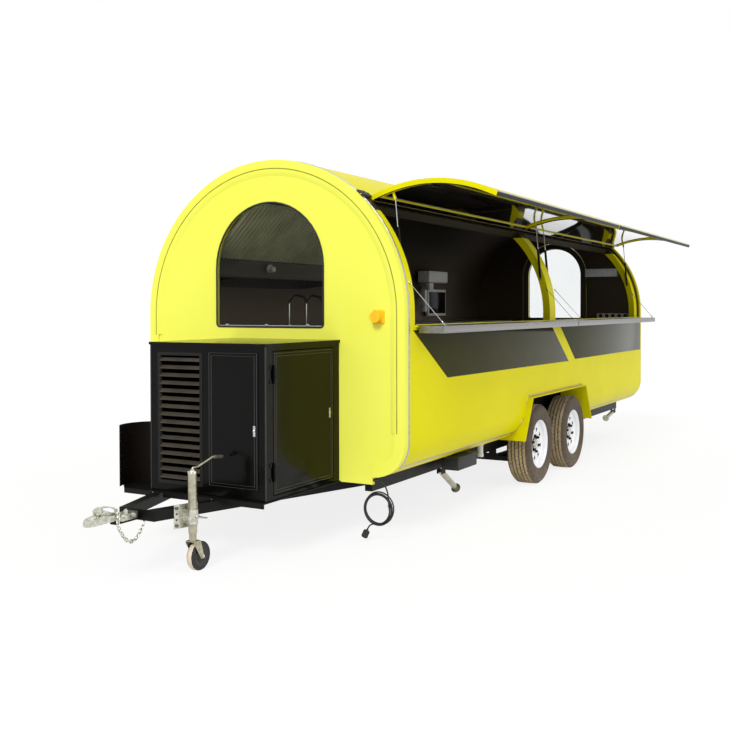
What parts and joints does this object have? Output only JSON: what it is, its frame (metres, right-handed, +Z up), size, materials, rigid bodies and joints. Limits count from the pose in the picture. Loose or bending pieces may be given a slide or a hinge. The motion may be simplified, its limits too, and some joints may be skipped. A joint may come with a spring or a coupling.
{
  "type": "food trailer",
  "caption": "Twin-axle food trailer with an arched body, side serving hatches on gas struts, fold-up shelves, a rear door, a front housing on the drawbar and a jockey wheel.",
  "frame": {"origin": "centre of the coupling's ball socket", "axes": "+X forward along the drawbar, +Y left (the serving side), +Z up"},
  "size_m": [7.476, 2.5804, 2.3998],
  "materials": {
    "black_paint": "gloss",
    "black_plastic": "matt",
    "chrome": "polished",
    "floor_board": "satin",
    "galvanised": "satin",
    "glass": "clear",
    "lamp_plastic": "gloss",
    "orange_plastic": "gloss",
    "rubber": "matt",
    "stainless": "satin",
    "tyre": "matt",
    "white_paint": "gloss",
    "yellow_paint": "gloss"
  },
  "bodies": {
    "trailer": {"front_wall": "yellow_paint", "front_window": "glass", "rear_wall": "yellow_paint", "floor": "floor_board", "left_side": "yellow_paint", "right_side": "yellow_paint", "roof": "yellow_paint", "body_posts": "yellow_paint", "shelf_front_stays": "chrome", "shelf_rear_stays": "chrome", "wheel_box_left": "yellow_paint", "wheel_box_right": "yellow_paint", "chassis_rails": "black_paint", "cross_members": "black_paint", "drawbar": "black_paint", "coupling": "galvanised", "safety_chain": "galvanised", "jockey_clamp": "galvanised", "running_gear": "black_paint", "platform": "black_paint", "generator_housing": "black_paint", "generator_louvre": "black_paint", "bottle_guard": "black_paint", "power_inlet": "orange_plastic", "lamps": "lamp_plastic", "left_counter": "stainless", "right_counter": "stainless", "taps": "chrome", "range_hood": "stainless", "lead_gland": "black_plastic", "lead": "rubber", "lead_coil": "rubber", "lead_plug": "black_plastic"},
    "door": {"door": "yellow_paint", "door_window": "glass"},
    "generator_side_door": {"generator_side_door": "black_paint"},
    "road_wheel_front_left": {"tyre_front_left": "tyre", "wheel_front_left": "white_paint"},
    "road_wheel_front_right": {"tyre_front_right": "tyre", "wheel_front_right": "white_paint"},
    "road_wheel_rear_left": {"tyre_rear_left": "tyre", "wheel_rear_left": "white_paint"},
    "road_wheel_rear_right": {"tyre_rear_right": "tyre", "wheel_rear_right": "white_paint"},
    "jockey": {"jockey_tube": "galvanised", "jockey_leg": "galvanised"},
    "jockey_castor": {"jockey_fork": "black_paint"},
    "jockey_roller": {"jockey_wheel": "rubber"},
    "steady_front_left": {"steady_front_left": "black_paint"},
    "steady_front_right": {"steady_front_right": "black_paint"},
    "steady_rear_left": {"steady_rear_left": "black_paint"},
    "steady_rear_right": {"steady_rear_right": "black_paint"},
    "hatch_front": {"hatch_front": "yellow_paint"},
    "hatch_front_barrels": {"hatch_front_barrels": "black_paint"},
    "hatch_front_rods": {"hatch_front_rods": "chrome"},
    "shelf_front": {"shelf_front": "stainless"},
    "hatch_rear": {"hatch_rear": "yellow_paint"},
    "hatch_rear_barrels": {"hatch_rear_barrels": "black_paint"},
    "hatch_rear_rods": {"hatch_rear_rods": "chrome"},
    "shelf_rear": {"shelf_rear": "stainless"}
  },
  "joints": [
    {"name": "door_swing", "type": "hinge", "parent": "trailer", "child": "door", "pos_m": [-7.398, 0.3825, 0.9], "axis": [0, 0, -1], "range_deg": [0, 110]},
    {"name": "generator_side_door_swing", "type": "hinge", "parent": "trailer", "child": "generator_side_door", "pos_m": [-0.8415, 0.542, 0.45], "axis": [0, 0, -1], "range_deg": [0, 110]},
    {"name": "wheel_front_left_spin", "type": "hinge", "parent": "trailer", "child": "road_wheel_front_left", "pos_m": [-3.985, 0.9175, -0.025], "axis": [0, 1, 0], "continuous": true},
    {"name": "wheel_front_right_spin", "type": "hinge", "parent": "trailer", "child": "road_wheel_front_right", "pos_m": [-3.985, -0.9175, -0.025], "axis": [0, 1, 0], "continuous": true},
    {"name": "wheel_rear_left_spin", "type": "hinge", "parent": "trailer", "child": "road_wheel_rear_left", "pos_m": [-4.885, 0.9175, -0.025], "axis": [0, 1, 0], "continuous": true},
    {"name": "wheel_rear_right_spin", "type": "hinge", "parent": "trailer", "child": "road_wheel_rear_right", "pos_m": [-4.885, -0.9175, -0.025], "axis": [0, 1, 0], "continuous": true},
    {"name": "jockey_lift", "type": "slide", "parent": "trailer", "child": "jockey", "axis": [0, 0, 1], "range_m": [-0.03, 0.08]},
    {"name": "jockey_swivel", "type": "hinge", "parent": "jockey", "child": "jockey_castor", "pos_m": [-0.505, 0.232, -0.18], "axis": [0, 0, 1], "continuous": true},
    {"name": "jockey_wheel_spin", "type": "hinge", "parent": "jockey_castor", "child": "jockey_roller", "pos_m": [-0.553, 0.232, -0.27], "axis": [0, 1, 0], "continuous": true},
    {"name": "steady_front_left_fold", "type": "hinge", "parent": "trailer", "child": "steady_front_left", "pos_m": [-2.68, 0.715, -0.082], "axis": [0, -1, 0], "range_deg": [-27, 16]},
    {"name": "steady_front_right_fold", "type": "hinge", "parent": "trailer", "child": "steady_front_right", "pos_m": [-2.68, -0.715, -0.082], "axis": [0, -1, 0], "range_deg": [-27, 16]},
    {"name": "steady_rear_left_fold", "type": "hinge", "parent": "trailer", "child": "steady_rear_left", "pos_m": [-7.295, 0.715, -0.082], "axis": [0, 1, 0], "range_deg": [-4, 39]},
    {"name": "steady_rear_right_fold", "type": "hinge", "parent": "trailer", "child": "steady_rear_right", "pos_m": [-7.295, -0.715, -0.082], "axis": [0, 1, 0], "range_deg": [-4, 39]},
    {"name": "hatch_front_swing", "type": "hinge", "parent": "trailer", "child": "hatch_front", "pos_m": [-4.425, 0.67503, 1.79185], "axis": [-1, 0, 0], "range_deg": [0, 66.7]},
    {"name": "hatch_front_barrels_swing", "type": "hinge", "parent": "trailer", "child": "hatch_front_barrels", "pos_m": [-4.425, 0.88347, 1.34047], "axis": [1, 0, 0], "range_deg": [0, 23.2]},
    {"name": "hatch_front_rods_slide", "type": "slide", "parent": "hatch_front_barrels", "child": "hatch_front_rods", "axis": [0, 0.0941, -0.9956], "range_m": [0, 0.106]},
    {"name": "shelf_front_fold", "type": "hinge", "parent": "trailer", "child": "shelf_front", "pos_m": [-4.422, 1.0104, 0.9815], "axis": [1, 0, 0], "range_deg": [0, 90], "deforming": ["shelf_front_stays"]},
    {"name": "hatch_rear_swing", "type": "hinge", "parent": "trailer", "child": "hatch_rear", "pos_m": [-4.425, 0.67503, 1.79185], "axis": [-1, 0, 0], "range_deg": [0, 66.7]},
    {"name": "hatch_rear_barrels_swing", "type": "hinge", "parent": "trailer", "child": "hatch_rear_barrels", "pos_m": [-4.425, 0.88347, 1.34047], "axis": [1, 0, 0], "range_deg": [0, 23.2]},
    {"name": "hatch_rear_rods_slide", "type": "slide", "parent": "hatch_rear_barrels", "child": "hatch_rear_rods", "axis": [0, 0.0941, -0.9956], "range_m": [0, 0.106]},
    {"name": "shelf_rear_fold", "type": "hinge", "parent": "trailer", "child": "shelf_rear", "pos_m": [-4.422, 1.0104, 0.9815], "axis": [1, 0, 0], "range_deg": [0, 90], "deforming": ["shelf_rear_stays"]}
  ],
  "couplings": [
    {"joint": "hatch_front_barrels_swing", "follows": "hatch_front_swing", "ratio": 0.34561},
    {"joint": "hatch_front_rods_slide", "follows": "hatch_front_swing", "m_per_rad": 0.09065},
    {"joint": "hatch_rear_barrels_swing", "follows": "hatch_rear_swing", "ratio": 0.34561},
    {"joint": "hatch_rear_rods_slide", "follows": "hatch_rear_swing", "m_per_rad": 0.09065}
  ]
}
